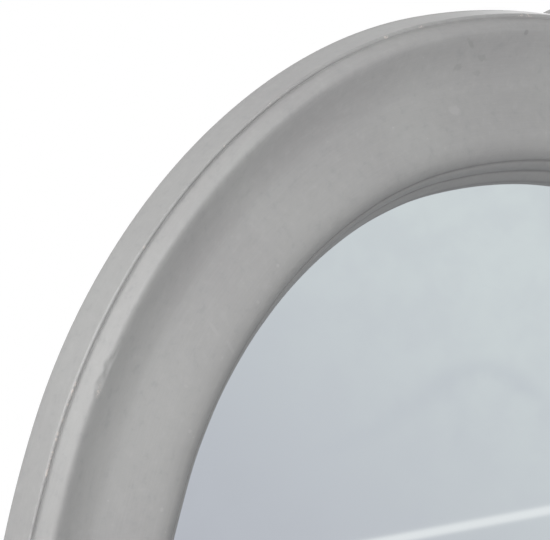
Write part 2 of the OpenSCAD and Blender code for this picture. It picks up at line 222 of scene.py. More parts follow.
# Chips and dents in the left half: run from the cleft, distance in, half length, half width and depth
knocks = [
    (472.6, 7.6, 0.9, 0.8, 0.4),
    (474.6, 7.0, 0.9, 1.1, 0.6),
    (477.6, 6.2, 1.9, 1.5, 0.9),
    (481.2, 6.8, 1.5, 1.2, 0.6),
    (483.4, 5.6, 0.8, 0.7, 0.5),
    (485.8, 6.1, 1.6, 1.6, 1.0),
    (488.2, 5.0, 0.8, 0.8, 0.5),
    (489.9, 6.3, 1.2, 1.2, 0.6),
    (339.0, 62.0, 5.0, 2.2, 0.25),
]


def knocked(length, u):
    """Depth of the chips: each is -depth * exp(-r**4), with r the distance over the chip's half sizes."""
    total = np.zeros(np.broadcast(length, u).shape)
    for at, inward, half_run, half_width, depth in knocks:
        r = ((length - at) / half_run) ** 2 + ((u - inward) / half_width) ** 2
        total = total - depth * np.exp(-(r**2))
    return total


def clogged(length, u):
    """Paint that fills the groove towards the crown: a bell over the groove times a step along the run."""
    clear_from, fade, height, half_width = 380.0, 120.0, 0.75, 0.9
    share = np.clip((clear_from - length) / fade, 0, 1)
    bell = height * np.exp(-(((u - quirk_u) / half_width) ** 2))
    return bell * share * share * (3 - 2 * share)


def rubbed(length, u, v):
    """How far the paint is rubbed thin: patches of a sum of sines along the arris, and one at the chips."""
    waves = ((83, 0.4), (31, 2.1), (17.3, 5.0), (7.1, 1.0))
    handled_at, handled_half, chip_at, chip_u = 508.0, 26.0, 489.0, 6.9
    patch = sum(np.sin(6.28 * length / run + phase) for run, phase in waves)
    worn = (patch > 2.5) | ((np.abs(length - handled_at) < handled_half) & (patch > 0.7))
    arris = (u < 1.3) & (v > side_h - 0.35)
    chips = (np.abs(length - chip_at) < 2.2) & (np.abs(u - chip_u) < 0.9)
    return (worn & arris) + 0.9 * chips


def step_shade(length, u):
    """Painted shade on the steps: a ramp, and bell curves in the corners under them, fading from the crown
    on.
    """
    corners = ((crest_u + 6.8, 0.32), (crest_u + 12.3, 0.32), (crest_u + 18.2, 0.28))
    faint_from, fade, corner_half = 620.0, 320.0, 0.6
    steps = np.clip((u - crest_u + 5) / 12, 0, 1) * 0.4
    shade_kept = np.clip((faint_from - length) / fade, 0.2, 1)
    return steps + shade_kept * sum(deep * np.exp(-(((u - at) / corner_half) ** 2)) for at, deep in corners)


section = moulding()
section_u, section_v = section.T
section_run = np.concatenate([[0], np.cumsum(np.linalg.norm(np.diff(section, axis=0), axis=1))])
# Paint reaches this far round behind, and the right half reads its patterns this much further along
overspray, right_patterns = 5.0, 4000.0
painted = (section_u < overspray) | (section_v > lip_back) | (section_u > moulding_w)
moulded = (section_v > lip_back + 1) & (section_u < moulding_w)
segments = [
    ("cleft", arc_place(cleft_c, cleft_r, cleft_angle, 90 - crown_half)),
    ("crown", arc_place(crown_c, crown_r, 90 - crown_half, 90 + crown_half)),
    ("lobe", arc_place(lobe_c, lobe_r, 90 + crown_half, flank_start)),
    ("flank", arc_place(flank_c, flank_r, flank_start, rail_start)),
    ("rail", rail_place),
]
frame_pieces = []
run_from = 0.0
for segment, place in segments:
    outer = place(np.linspace(0, 1, 60), np.zeros(60))
    run = np.linalg.norm(np.diff(outer, axis=0), axis=1).sum()
    s = np.linspace(0, 1, int(run / frame_step))[:, None]
    s = butt_gap / run + s * (1 - 2 * butt_gap / run)
    length = run_from + s * run
    xy = place(s, section_u[None, :])
    chord = outer[-1] - outer[0]
    chord = chord / np.linalg.norm(chord)
    plank = np.stack([xy @ chord, xy @ np.array([-chord[1], chord[0]]) + section_v], -1) / 1000
    for side, hand in (("left", 1), ("right", -1)):
        patterns = length + right_patterns * (hand < 0)
        v = section_v + moulded * (hand_waves(patterns, section_u) + clogged(length, section_u))
        if hand > 0:
            v = v + moulded * knocked(length, section_u)
        piece = skin(f"moulding_{segment}_{side}", [hang(hand * xy[..., 0], xy[..., 1], v)], hand < 0)
        label(piece, "painted", np.broadcast_to(painted, v.shape))
        label(piece, "rubbed", rubbed(patterns, section_u, section_v))
        # Painted shade on the steps and in the corners under them
        label(piece, "painted_shade", moulded * step_shade(length, section_u))
        label(piece, "edge", np.broadcast_to((section_u < 1) & (section_v > 1), v.shape))
        chart(piece, "run", patterns / 1000, section_run / 1000)
        chart(piece, "plank", plank[..., 0], plank[..., 1])
        fit(piece, "mirror_frame", "painted_wood", f"frame_{segment}_{side}")
        frame_pieces.append(piece)
    run_from += run


class Value:
    """A socket of a node tree, so that masks and patterns can be written as sums."""

    def __init__(self, nodes, socket):
        self.nodes, self.socket = nodes, socket

    def maths(self, operation, *others):
        return self.nodes.add("ShaderNodeMath", {"operation": operation}, dict(enumerate(others)))

    def __add__(self, other):
        return self.maths("ADD", self, other)

    def __mul__(self, other):
        return self.maths("MULTIPLY", self, other)

    def __sub__(self, other):
        return self.maths("SUBTRACT", self, other)

    def __rsub__(self, other):
        return self.maths("SUBTRACT", other, self)

    __radd__, __rmul__ = __add__, __mul__

    def over(self, other):
        return self.maths("MAXIMUM", self, other)

    def rise(self, low, high):
        """0 below low and 1 above high, with a smooth step between; low may be the larger."""
        return self.nodes.add(
            "ShaderNodeMapRange", {"interpolation_type": "SMOOTHSTEP"}, {0: self, 1: low, 2: high}
        )


class Nodes:
    """The node tree of a material or world, to which add() adds a node and gives one of its outputs."""

    def __init__(self, owner):
        owner.use_nodes = True
        self.owner, self.tree = owner, owner.node_tree

    def add(self, kind, settings=(), values=(), output=0):
        node = self.tree.nodes.new(kind)
        for name, value in dict(settings).items():
            setattr(node, name, value)
        self.fill(node, values)
        return Value(self, node.outputs[output])

    def fill(self, node, values):
        for name, value in dict(values).items():
            if isinstance(value, Value):
                self.tree.links.new(value.socket, node.inputs[name])
            else:
                node.inputs[name].default_value = value

    def shader_values(self, values):
        """Sets plain numbers on the Principled shader's own sockets."""
        self.fill(self.shader, values)

    def mix(self, factor, a, b):
        return self.add("ShaderNodeMix", {"data_type": "RGBA"}, {0: factor, 6: a, 7: b}, 2)

    def noise(self, where, scale, detail=2.0, rough=0.5):
        values = {"Vector": where, "Scale": scale, "Detail": detail, "Roughness": rough}
        return self.add("ShaderNodeTexNoise", values=values)

    def stretched(self, where, *scales):
        return self.add("ShaderNodeVectorMath", {"operation": "MULTIPLY"}, {0: where, 1: scales})

    def attribute(self, name):
        return self.add("ShaderNodeAttribute", {"attribute_name": name}, output=2)

    def apart(self, where, *place):
        """Distance from a place."""
        return self.add("ShaderNodeVectorMath", {"operation": "DISTANCE"}, {0: where, 1: place}, 1)


def colour(r, g, b):
    """Shader colour of a screen colour given as 0 to 255."""
    c = np.array([r, g, b]) / 255
    return (*np.where(c < 0.04045, c / 12.92, ((c + 0.055) / 1.055) ** 2.4).tolist(), 1.0)


def finish(name):
    """New material with the nodes of its Principled shader."""
    nodes = Nodes(bpy.data.materials.new(name))
    nodes.shader = nodes.tree.nodes["Principled BSDF"]
    nodes.here = nodes.add("ShaderNodeTexCoord", output=3)
    return nodes


def wear(piece, nodes):
    """Puts a finish on a piece of the scene, or on a CAD node through its object's slots."""
    if not piece.material_slots:
        piece.data.materials.append(nodes.owner)
        return
    for slot in piece.material_slots:
        slot.link = "OBJECT"
        slot.material = nodes.owner


# Old marks in the left half: run from the cleft, distance in, half sizes along and across, lean and tone
marks = [
    (224.3, 10.8, 1.8, 3.4, 0.9, -0.22),
    (188.0, 7.7, 1.5, 1.6, 0.0, -0.4),
    (212.0, 19.0, 3.4, 2.2, 0.8, -0.2),
    (228.0, 22.0, 3.0, 2.0, 0.0, -0.2),
    (214.0, 26.0, 3.0, 1.8, 0.0, -0.2),
    (234.0, 40.0, 4.5, 3.0, 0.0, 0.4),
    (410.0, 57.0, 1.2, 1.2, 0.0, 0.45),
    (387.0, 54.0, 1.0, 1.0, 0.0, 0.45),
    (491.0, 57.0, 1.2, 1.2, 0.0, 0.45),
    (533.0, 55.0, 1.4, 1.0, 0.0, 0.45),
    (470.0, 47.5, 1.0, 1.0, 0.0, 0.3),
    (437.0, 47.0, 1.2, 5.0, -0.5, 0.22),
    (440.0, 58.0, 1.2, 5.0, -0.5, 0.22),
]


def painted_wood():
    """Matt grey paint brushed along the moulding, and bare beech where the number painted is 0."""
    n = finish("painted_wood")
    run = n.add("ShaderNodeUVMap", {"uv_map": "run"})
    plank = n.add("ShaderNodeUVMap", {"uv_map": "plank"})
    broad = n.noise(n.here, 14.0, 3.0)
    brush = n.noise(n.stretched(run, 60.0, 1400.0, 1.0), 1.0, 3.0)
    speck = n.noise(n.here, 420.0, 1.0).rise(0.79, 0.84)
    fine = n.noise(n.here, 900.0, 2.0)
    rub = n.attribute("rubbed") * n.noise(n.here, 800.0, 2.0).rise(0.42, 0.56)
    # Painted shade in the steps of the moulding and the creases of the carving, with a little noise
    shade_mask = n.attribute("painted_shade") * (0.75 + n.noise(n.here, 55.0, 3.0) * 0.5)
    mottle = n.noise(n.here, 210.0, 4.0, 0.65)
    grey = n.mix(broad.rise(0.3, 0.7), colour(167, 166, 166), colour(173, 173, 172))
    grey = n.mix(brush.rise(0.35, 0.75) * 0.25, grey, colour(181, 181, 181))
    grey = n.mix(mottle.rise(0.5, 0.75) * 0.5, grey, colour(180, 180, 179))
    grey = n.mix(mottle.rise(0.48, 0.25) * 0.5, grey, colour(158, 158, 159))
    grey = n.mix(speck * 0.4, grey, colour(202, 202, 201))
    way, across = (n.add("ShaderNodeSeparateXYZ", values={0: run}, output=i) for i in range(2))
    light, dark = 0.0, 0.0
    for at, inward, half_run, half_width, lean, tone in marks:
        up = across - float(np.interp(inward, section_u[moulded], section_run[moulded])) / 1000
        near = (way - at / 1000 + up * lean) * (1000 / half_run)
        up = up * (1000 / half_width)
        mark = (near * near + up * up + (mottle - 0.5) * 3.0).rise(1.0, 0.3) * abs(tone)
        light, dark = (light + mark, dark) if tone > 0 else (light, dark + mark)
    grey = n.mix(light, grey, colour(190, 190, 189))
    grey = n.mix(dark, grey, colour(128, 127, 126))
    # Painted shade: a dark grey mixed in over the steps and step corners of the moulding and the creases of
    # the carving
    grey = n.mix(shade_mask, grey, colour(104, 103, 103))
    grey = n.mix(rub * 0.8, grey, colour(212, 204, 198))
    figure = n.noise(n.stretched(plank, 9.0, 160.0, 1.0), 1.0, 4.0, 0.6)
    pores = n.noise(n.stretched(plank, 160.0, 2600.0, 1.0), 1.0, 2.0).rise(0.6, 0.72)
    bare = n.mix(figure.rise(0.3, 0.7), colour(216, 188, 150), colour(192, 158, 118))
    bare = n.mix(pores * 0.5, bare, colour(140, 106, 72))
    cover = n.attribute("painted") + (n.noise(n.here, 90.0, 3.0) - 0.5) * 0.3
    cover = cover.rise(0.4, 0.6)
    height = brush * 0.4 + fine * 0.25 + mottle * 0.6 + broad * 1.5
    bump = n.add("ShaderNodeBump", values={"Strength": 0.5, "Distance": 0.0002, "Height": height})
    values = {
        "Base Color": n.mix(cover, bare, grey),
        "Roughness": 0.62 - cover * 0.14 + brush * 0.06 - n.attribute("edge") * 0.16,
        "Normal": bump,
    }
    n.fill(n.shader, values)
    return n


grey_paint = painted_wood()
for piece in frame_pieces:
    wear(piece, grey_paint)

# Pane. Four millimetre glass silvered behind, cut to the heart with a lap of five millimetres under the lip.
# The silvering has gone slightly cloudy with age, and a cloth has left a few long faint wipes. Twelve cork
# blocks centre the pane in its rebate, and a sheet of brown paper keeps the board off the silver.


def silvered_glass():
    """Silvered glass: a faint cool cast, low clouds and long wipes."""
    n = finish("silvered_glass")
    cloud = n.noise(n.here, 5.0, 3.0)
    wipe = n.noise(n.stretched(n.here, 6.0, 1.0, 30.0), 1.0, 3.0, 0.6).rise(0.56, 0.72)
    wipe = wipe * n.noise(n.here, 3.0, 1.0).rise(0.4, 0.6)
    cast = n.mix(cloud.rise(0.3, 0.7), colour(223, 228, 230), colour(226, 231, 233))
    cast = n.mix(wipe * 0.3, cast, colour(214, 219, 222))
    n.fill(n.shader, {"Base Color": cast, "Metallic": 1.0, "Roughness": 0.02 + wipe * 0.03})
    return n


def pressed_cork():
    """Pressed cork: cells of several browns with dark gaps between them."""
    n = finish("cork")
    grain = n.add("ShaderNodeTexVoronoi", values={"Vector": n.here, "Scale": 700.0})
    tone = n.noise(n.here, 500.0, 2.0)
    brown = n.mix(tone.rise(0.35, 0.65), colour(150, 112, 74), colour(186, 148, 104))
    brown = n.mix(grain.rise(0.35, 0.7), brown, colour(96, 68, 44))
    bump = n.add("ShaderNodeBump", values={"Strength": 0.6, "Distance": 0.0002, "Height": 1.0 - grain})
    n.fill(n.shader, {"Base Color": brown, "Roughness": 0.9, "Normal": bump})
    return n


def kraft_paper():
    """Brown kraft paper: cloudy pulp with short darker fibres."""
    n = finish("liner_paper")
    pulp = n.noise(n.here, 60.0, 4.0, 0.6)
    fibre = n.noise(n.stretched(n.here, 300.0, 300.0, 2400.0), 1.0, 2.0).rise(0.62, 0.72)
    brown = n.mix(pulp.rise(0.3, 0.7), colour(190, 158, 118), colour(204, 173, 132))
    brown = n.mix(fibre * 0.4, brown, colour(150, 118, 84))
    n.fill(n.shader, {"Base Color": brown, "Roughness": 0.85 + pulp * 0.1})
    return n


wear(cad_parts["mirror_pane"], silvered_glass())
wear(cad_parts["edge_blocks"], pressed_cork())
wear(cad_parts["liner_sheet"], kraft_paper())

# Back. A sheet of hardboard, screened side out, lies in its own rebate and is held by sixteen countersunk
# screws. Beech biscuits lock the ten joints of the frame, and beech dowels hold the crest on its edge.
board_screw_r, board_screw_l = 1.5, 13.0
screw_u = (board_rebate_u + 0.5 + pane_rebate_u) / 2
screw_pitch = 1.5
thread_depth = 0.25


def hardboard():
    """Hardboard's screened side: brown fibres over a fine square weave."""
    n = finish("hardboard")
    fibre = n.noise(n.here, 900.0, 3.0, 0.7)
    cloud = n.noise(n.here, 16.0, 4.0, 0.6)
    weave = n.stretched(n.here, 3500.0, 0.0, 3500.0)
    east = n.add("ShaderNodeSeparateXYZ", values={0: weave}, output=0)
    north = n.add("ShaderNodeSeparateXYZ", values={0: weave}, output=2)
    screen = east.maths("SINE", east) * north.maths("SINE", north)
    brown = n.mix(cloud.rise(0.3, 0.7), colour(150, 116, 84), colour(164, 130, 96))
    brown = n.mix(fibre.rise(0.45, 0.7) * 0.5, brown, colour(112, 80, 54))
    brown = n.mix(n.noise(n.here, 620.0, 1.0).rise(0.66, 0.76) * 0.35, brown, colour(186, 152, 112))
    height = screen * 0.4 + fibre * 0.6
    bump = n.add("ShaderNodeBump", values={"Strength": 0.5, "Distance": 0.0002, "Height": height})
    n.fill(n.shader, {"Base Color": brown, "Roughness": 0.75 + fibre * 0.2, "Normal": bump})
    return n


def bare_beech():
    """Planed beech: long figure and short darker flecks along X."""
    n = finish("beech")
    figure = n.noise(n.stretched(n.here, 20.0, 220.0, 220.0), 1.0, 4.0, 0.6)
    fleck = n.noise(n.stretched(n.here, 260.0, 1800.0, 1800.0), 1.0, 2.0).rise(0.6, 0.7)
    wood = n.mix(figure.rise(0.3, 0.7), colour(208, 180, 142), colour(184, 150, 110))
    wood = n.mix(fleck * 0.5, wood, colour(136, 102, 68))
    n.fill(n.shader, {"Base Color": wood, "Roughness": 0.6 + figure * 0.1})
    return n


def zinc_steel():
    """Bright zinc plate: cloudy grey metal with fine rolling lines and dull spots."""
    n = finish("zinc_steel")
    cloud = n.noise(n.here, 240.0, 3.0)
    lines = n.noise(n.stretched(n.here, 4000.0, 200.0, 200.0), 1.0, 2.0)
    dull = n.noise(n.here, 120.0, 3.0).rise(0.55, 0.7)
    metal = n.mix(cloud.rise(0.3, 0.7), colour(178, 180, 181), colour(198, 199, 198))
    metal = n.mix(dull * 0.5, metal, colour(150, 150, 147))
    bump = n.add("ShaderNodeBump", values={"Strength": 0.2, "Distance": 0.0001, "Height": lines})
    rough = 0.3 + dull * 0.2 + lines * 0.1
    n.fill(n.shader, {"Base Color": metal, "Metallic": 1.0, "Roughness": rough, "Normal": bump})
    return n


def screw(head, shank_r, length, arm):
    """Screw about the v axis, its point up: rows of (radius, v) down the head, then a shank whose radius
    falls by a saw-tooth of v / pitch - angle. A cross of two arms is pressed into the head's top rows, all
    but the four of its rim and neck."""
    angle = np.linspace(0, 2 * np.pi, 64, endpoint=False)
    tip, cross_depth, neck_rows = 2 * shank_r, 0.8, 4
    v = np.arange(head[-1][1] + 0.2, length, 0.25)
    r = shank_r * np.clip((length - v) / tip, 0.05, 1)
    tooth = (v[:, None] / screw_pitch - angle / (2 * np.pi)) % 1
    r = r[:, None] * (1 - thread_depth * np.abs(2 * tooth - 1))
    top_r, top_v = np.array(head).T
    r = np.concatenate([top_r[:, None] + 0 * angle, r])
    v = np.concatenate([top_v, v])[:, None] + 0 * angle
    x, y = r * np.cos(angle), r * np.sin(angle)
    bars = []
    for a, b in ((x, y), (y, x)):
        bars.append(np.clip((arm * 0.34 - np.abs(a)) / 0.25, 0, 1) * np.clip((arm - np.abs(b)) / 0.5, 0, 1))
    pressed = np.arange(len(v)) < len(head) - neck_rows
    v = v + cross_depth * np.maximum(*bars) * pressed[:, None]
    return x, y, v


def screws(name, kind, spots, seat):
    """Like screws in one piece, each turned a little further than the last."""
    x, y, v = kind
    grids = []
    for turn, spot in enumerate(spots):
        a = 0.9 * turn
        at_x = spot[0] + x * np.cos(a) - y * np.sin(a)
        grids.append(hang(at_x, spot[1] + x * np.sin(a) + y * np.cos(a), seat + v))
    piece = skin(name, grids, True)
    wear(piece, zinc_plate)
    fit(piece, "mirror_frame", "zinc_steel", name)


def both_sides(spots):
    """Spots of the left half, each with its mirror image."""
    return [(hand * x, y) for x, y in spots for hand in (1, -1)]


def on_arc(centre, r, angle, u):
    """Place u in from an arc of the frame's edge: centre + (r - u) * toward(angle)."""
    return centre + (r - u) * toward(angle)


zinc_plate = zinc_steel()
board_screw_spots = [
    on_arc(cleft_c, cleft_r, 55, screw_u),
    on_arc(crown_c, crown_r, 90, screw_u),
    on_arc(lobe_c, lobe_r, 116, screw_u),
    on_arc(lobe_c, lobe_r, 148, screw_u),
    on_arc(flank_c, flank_r, 180, screw_u),
    on_arc(flank_c, flank_r, 205, screw_u),
    rail_place(np.array(0.15), np.array(screw_u)),
    rail_place(np.array(0.75), np.array(screw_u)),
]
head_r = 2 * board_screw_r
flat_head = [(r, 0.0) for r in np.linspace(0.03, head_r - 0.15, 16)]
flat_head += [(head_r, 0.1), (head_r * 0.75, board_screw_r * 0.5)]
flat_head += [(board_screw_r, board_screw_r), (board_screw_r, 1.9)]
board_screw = screw(flat_head, board_screw_r, board_screw_l, 1.7)
screws("board_screws", board_screw, both_sides(board_screw_spots), 0)

beech = bare_beech()
wear(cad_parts["backing_board"], hardboard())
wear(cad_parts["joint_biscuits"], beech)
wear(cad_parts["crest_dowels"], beech)

# Hangers. A zinc-plated steel strap, rolled round the straight side of a wire ring, is screwed to the back
# of each flank, so that the ring swings up to hook on the wall. Four felt discs are glued on as bumpers.
middle_u = board_rebate_u / 2
wire_r, ring_half, ring_leg, ring_corner = 1.5, 12.0, 8.0, 2.5
strap_w, strap_t, strap_l = 14.0, 1.2, 50.0
hanger_screw_r, hanger_screw_l = 1.75, 12.0
bumper_r = 10.0
pivot_y = -(ring_leg + ring_half - wire_r)
pivot_v = -(strap_t + 0.2 + wire_r)
hanger_x = flank_c[0] - np.sqrt((flank_r - middle_u) ** 2 - (pivot_y - flank_c[1]) ** 2)


def arc(centre, r, first, last, n):
    """Points of an arc from one angle to another, as n + 1 rows."""
    return np.array(centre) + r * toward(np.linspace(first, last, n + 1))


def wire_ring():
    """Wire along a path: position + r * (cos(a) * side normal - sin(a) * v). Its ends butt in the strap."""
    half = ring_half - ring_corner
    path = np.concatenate(
        [
            [[0.1, 0], [4, 0], [half - 0.5, 0]],
            arc((half, -ring_corner), ring_corner, 90, 0, 10),
            [[ring_half, -ring_leg / 2 - 1]],
            arc((0, -ring_leg), ring_half, 0, -180, 48),
            [[-ring_half, -ring_leg / 2 - 1]],
            arc((-half, -ring_corner), ring_corner, 180, 90, 10),
            [[0.5 - half, 0], [-4, 0], [-0.1, 0]],
        ]
    )
    way = np.gradient(path, axis=0)
    way = way / np.linalg.norm(way, axis=1)[:, None]
    side = np.stack([-way[:, 1], way[:, 0]], -1)
    angle = np.linspace(0, 2 * np.pi, 28, endpoint=False)
    xy = path[:, None] + wire_r * np.cos(angle)[:, None] * side[:, None]
    return xy[..., 0], xy[..., 1] + pivot_y, pivot_v - wire_r * np.sin(angle)


def rolled_strap():
    """Strip about a path up the wood and round the wire: path +- half_t * side normal, and round again
    inside. The rows run across its width, which follows a half circle at the lower end."""
    end_y = pivot_y - strap_l
    round_end = strap_w / 2 * (1 - np.cos(np.linspace(0, np.pi / 2, 16)))
    up = np.concatenate([end_y + round_end, np.linspace(end_y + strap_w / 2, pivot_y - 6, 24)[1:]])
    straight = np.stack([up, 0 * up - strap_t / 2], -1)
    roll_r = wire_r + 0.05 + strap_t / 2
    path = np.concatenate([straight, arc((pivot_y, pivot_v), roll_r, 90, -205, 44)])
    way = np.gradient(path, axis=0)
    way = way / np.linalg.norm(way, axis=1)[:, None]
    side = np.stack([-way[:, 1], way[:, 0]], -1)
    across = np.array([-1, -0.99, -0.965, -0.93, -0.6, -0.2, 0.2, 0.6, 0.93, 0.965, 0.99, 1])
    half_t = strap_t / 2 * (1 - 0.45 * np.clip((np.abs(across) - 0.93) / 0.07, 0, 1) ** 2)[:, None, None]
    outer, inner = path + half_t * side, (path - half_t * side)[:, ::-1]
    yv = np.concatenate([outer, inner], 1)
    below = np.clip(end_y + strap_w / 2 - yv[..., 0], 0, strap_w / 2 - 0.01)
    half_w = np.sqrt((strap_w / 2) ** 2 - below**2)
    return across[:, None] * half_w, yv[..., 0], yv[..., 1]


def felt_disc():
    """Disc about the v axis from the wall face inwards to the wood, its rim worn by a sum of sines."""
    angle = np.linspace(0, 2 * np.pi, 72, endpoint=False)
    r = np.array([0.1, 3, 6, 7.8, 8.5, 8.9, 9.1, 9.3, 9.5, 9.7, 9.9, 10.0, 9.9, 6, 0.1])
    v = np.array([0, 0, 0, 0.03, 0.15, 0.4, 0.8, 1.5, 2.6, 4, 5.2, 5.9, 6, 6, 6])
    r, v = r[:, None] / 10 * bumper_r, v[:, None] / 6 * bumper_h
    fray = 0.1 * np.sin(9 * angle + v) + 0.08 * np.sin(23 * angle + 3 * v) + 0.05 * np.sin(41 * angle)
    r = r - (r > 0.8 * bumper_r) * (0.2 + fray)
    return r * np.cos(angle), r * np.sin(angle), v - bumper_h + 0 * angle


def wool_felt():
    """Dark grey wool felt: matted fibres in several greys under a soft nap."""
    n = finish("felt")
    mat = n.noise(n.here, 1400.0, 4.0, 0.7)
    tuft = n.noise(n.here, 260.0, 3.0)
    grey = n.mix(mat.rise(0.35, 0.65), colour(62, 62, 65), colour(92, 92, 95))
    grey = n.mix(tuft.rise(0.55, 0.7) * 0.4, grey, colour(112, 111, 112))
    bump = n.add("ShaderNodeBump", values={"Strength": 0.9, "Distance": 0.0004, "Height": mat + tuft * 0.5})
    n.fill(n.shader, {"Base Color": grey, "Roughness": 0.95, "Normal": bump})
    n.shader_values({"Sheen Weight": 0.35, "Sheen Roughness": 0.5})
    return n


for side, hand in (("left", 1), ("right", -1)):
    x, y, v = rolled_strap()
    strap = skin(f"strap_{side}", [hang(hand * hanger_x + x, y, v)])
    wear(strap, zinc_plate)
    fit(strap, "mirror_frame", "zinc_steel", f"hanger_plate_{side}")
    x, y, v = wire_ring()
    ring = skin(f"ring_{side}", [hang(hand * hanger_x + x, y, v)])
    wear(ring, zinc_plate)
    fit(ring, f"ring_{side}", "zinc_steel", f"hanger_ring_{side}")

dome = toward(90 - np.linspace(0, 84, 18)) * [2 * hanger_screw_r, -hanger_screw_r] + [0.03, 0]
round_head = dome.tolist() + [(2 * hanger_screw_r, -0.1), (2 * hanger_screw_r - 0.1, 0)]
round_head += [(hanger_screw_r, 0), (hanger_screw_r, 0.4)]
hanger_screw = screw(round_head, hanger_screw_r, hanger_screw_l, 2.1)
screw_ys = [pivot_y - (ring_leg + ring_half + wire_r + 6), pivot_y - strap_l + 8]
screws("hanger_screws", hanger_screw, both_sides([(hanger_x, y) for y in screw_ys]), -strap_t)

x, y, v = felt_disc()
bumper_spots = [on_arc(crown_c, crown_r, 90, middle_u), rail_place(np.array(0.6), np.array(middle_u))]
bumpers = skin("felt_bumpers", [hang(at[0] + x, at[1] + y, v) for at in both_sides(bumper_spots)], True)
wear(bumpers, wool_felt())
fit(bumpers, "mirror_frame", "felt", "wall_bumpers")

# Crest. Two carved beech leaves climb the frame's edge to a fluted shell over the cleft. They are carved as
# separate blocks, dowelled to the edge, then painted with the frame.
leaf_back, leaf_front = 1.5, 13.5
leaf_end, shell_r, flute_count, shell_span = 142.0, 60.0, 9, 200.0
tip_r, tip_slope = 24.0, 32.0
boss_r, bead_r, bead_half, flutes_r = 13.0, 15.6, 1.9, 17.4
rib_out = (15.0, 3.0)
seat_gap = 0.25
cleft_run = cleft_r * np.radians(90 - crown_half - cleft_angle(0))
shell_c = np.array([0, cleft_c[1] + cleft_r * np.sin(np.radians(cleft_angle(0))) + 16])


def beside(run, out):
    """Place out from the frame's edge, at a run from the cleft: centre + (r + out) * toward(angle)."""
    far = run > cleft_run
    r = np.where(far, crown_r, cleft_r)
    on_crown = 90 - crown_half + np.degrees((run - cleft_run) / crown_r)
    angle = np.where(far, on_crown, cleft_angle(0) + np.degrees(run / cleft_r))
    return np.where(far[..., None], crown_c, cleft_c) + (r + out)[..., None] * toward(angle)


def run_at(x):
    """Run along the edge to distance x from the centre line, on the cleft arc or the crown."""
    if x < -(crown_c + crown_r * toward(90 - crown_half))[0]:
        return cleft_r * (np.arccos((-x - cleft_c[0]) / cleft_r) - np.radians(cleft_angle(0)))
    return cleft_run + crown_r * (np.arccos((-x - crown_c[0]) / crown_r) - np.radians(90 - crown_half))


last_x = leaf_end - tip_r * np.sin(np.radians(tip_slope))
tip_out = -tip_r * np.cos(np.radians(tip_slope))
leaf_lobes = [
    (run_at(shell_r + share * (last_x - shell_r)), out, r)
    for share, out, r in ((1, tip_out, tip_r), (0.72, -11, 26), (0.36, -2, 27), (0, 5, 28))
]


def leaf():
    """Leaf from the shell to its tip. A row is a closed section: up the outer edge, over the carved front to
    the frame and round the back. The front swells over each lobe by the root of 1 - (distance / radius)**2,
    and a midrib, a hollow to each side of it and slanting veins are bell curves added to that."""
    rows, front, thin = 110, 56, 0.4
    swell_h, edge_w = 4.5, 3.2
    rib_h, rib_fall, rib_w = 4.2, 2.2, 2.3
    hollow_off, hollow_w, hollow_h = 4.4, 1.5, 1.5
    vein_pitch, vein_lean, vein_w, vein_h = 8.5, 0.8, 0.13, 0.9
    tip = leaf_lobes[0][0] + np.sqrt(tip_r**2 - leaf_lobes[0][1] ** 2) + 0.2
    share = np.linspace(0, 1, rows)[:, None] ** 0.9
    start = run_at(shell_r)
    reach = np.full((rows, 1), thin)
    arm = shell_c - cleft_c
    cut = shell_r + 0.4
    for _ in range(4):
        r = cleft_r + reach * np.linspace(0, 1, front)
        turn = np.arccos((arm @ arm + r**2 - cut**2) / (2 * np.linalg.norm(arm) * r))
        start = cleft_r * (np.arctan2(arm[1], arm[0]) + turn - np.radians(cleft_angle(0)))
        run = start + share * (tip - start)
        local = np.where(run > cleft_run, crown_r, cleft_r)
        tops = []
        for at, out, lobe_radius in leaf_lobes:
            swing = (run - at) / local
            middle = local + out
            room = lobe_radius**2 - (middle * np.sin(swing)) ** 2
            top = middle * np.cos(swing) + np.sqrt(np.maximum(room, 0)) - local
            tops.append(np.where(room > 0, top, thin))
        reach = np.maximum(np.max(tops, 0)[:, -1:], thin)
    out = reach * np.linspace(0, 1, front)
    swell = np.max([1 - ((out - o) ** 2 + (run - at) ** 2) / r**2 for at, o, r in leaf_lobes], 0)
    along = np.clip((run - leaf_lobes[3][0]) / (leaf_lobes[0][0] - leaf_lobes[3][0]), 0, 1.1)
    off = out - (rib_out[0] + along * (rib_out[1] - rib_out[0]))
    vein = ((run - vein_lean * np.abs(off)) / vein_pitch) % 1 - 0.5
    hollow = np.exp(-(((np.abs(off) - hollow_off) / hollow_w) ** 2))
    groove = np.exp(-((vein / vein_w) ** 2)) * np.clip((np.abs(off) - 4) / 4, 0, 1)
    v = leaf_front - swell_h + swell_h * np.sqrt(np.clip(swell, 0, 1)) - hollow_h * hollow - vein_h * groove
    v = v + (rib_h - rib_fall * along) * np.exp(-((off / rib_w) ** 2))
    edge = np.clip((out - reach + edge_w) / edge_w, 0, 1)
    v = leaf_back + 4 + (v - leaf_back - 4) * np.sqrt(1 - 0.98 * edge**2)
    # Painted shade in the hollows beside the midrib and in the vein grooves
    shade_mask = np.clip(0.45 * hollow + 0.5 * groove, 0, 1)
    wall = np.array([0, 0.03, 0.25, 0.5, 0.75])
    steep = leaf_back + wall * (v[:, -1:] - leaf_back)
    rear = np.linspace(0, 1, 5)[:-1] * reach
    foot = run[:, :1]
    behind = foot + rear / reach * (run[:, -1:] - foot)
    run_all = np.concatenate([run[:, -1:] + 0 * steep, run[:, ::-1], foot, behind], 1)
    out_all = np.concatenate([reach + 0 * steep, out[:, ::-1], 0 * foot, rear], 1)
    v_all = np.concatenate([steep, v[:, ::-1], 0 * foot + 5, leaf_back + 0 * rear], 1)
    shade_mask_all = np.concatenate([0 * steep, shade_mask[:, ::-1], 0 * foot, 0 * rear], 1)
    return beside(run_all, out_all + seat_gap), v_all, shade_mask_all


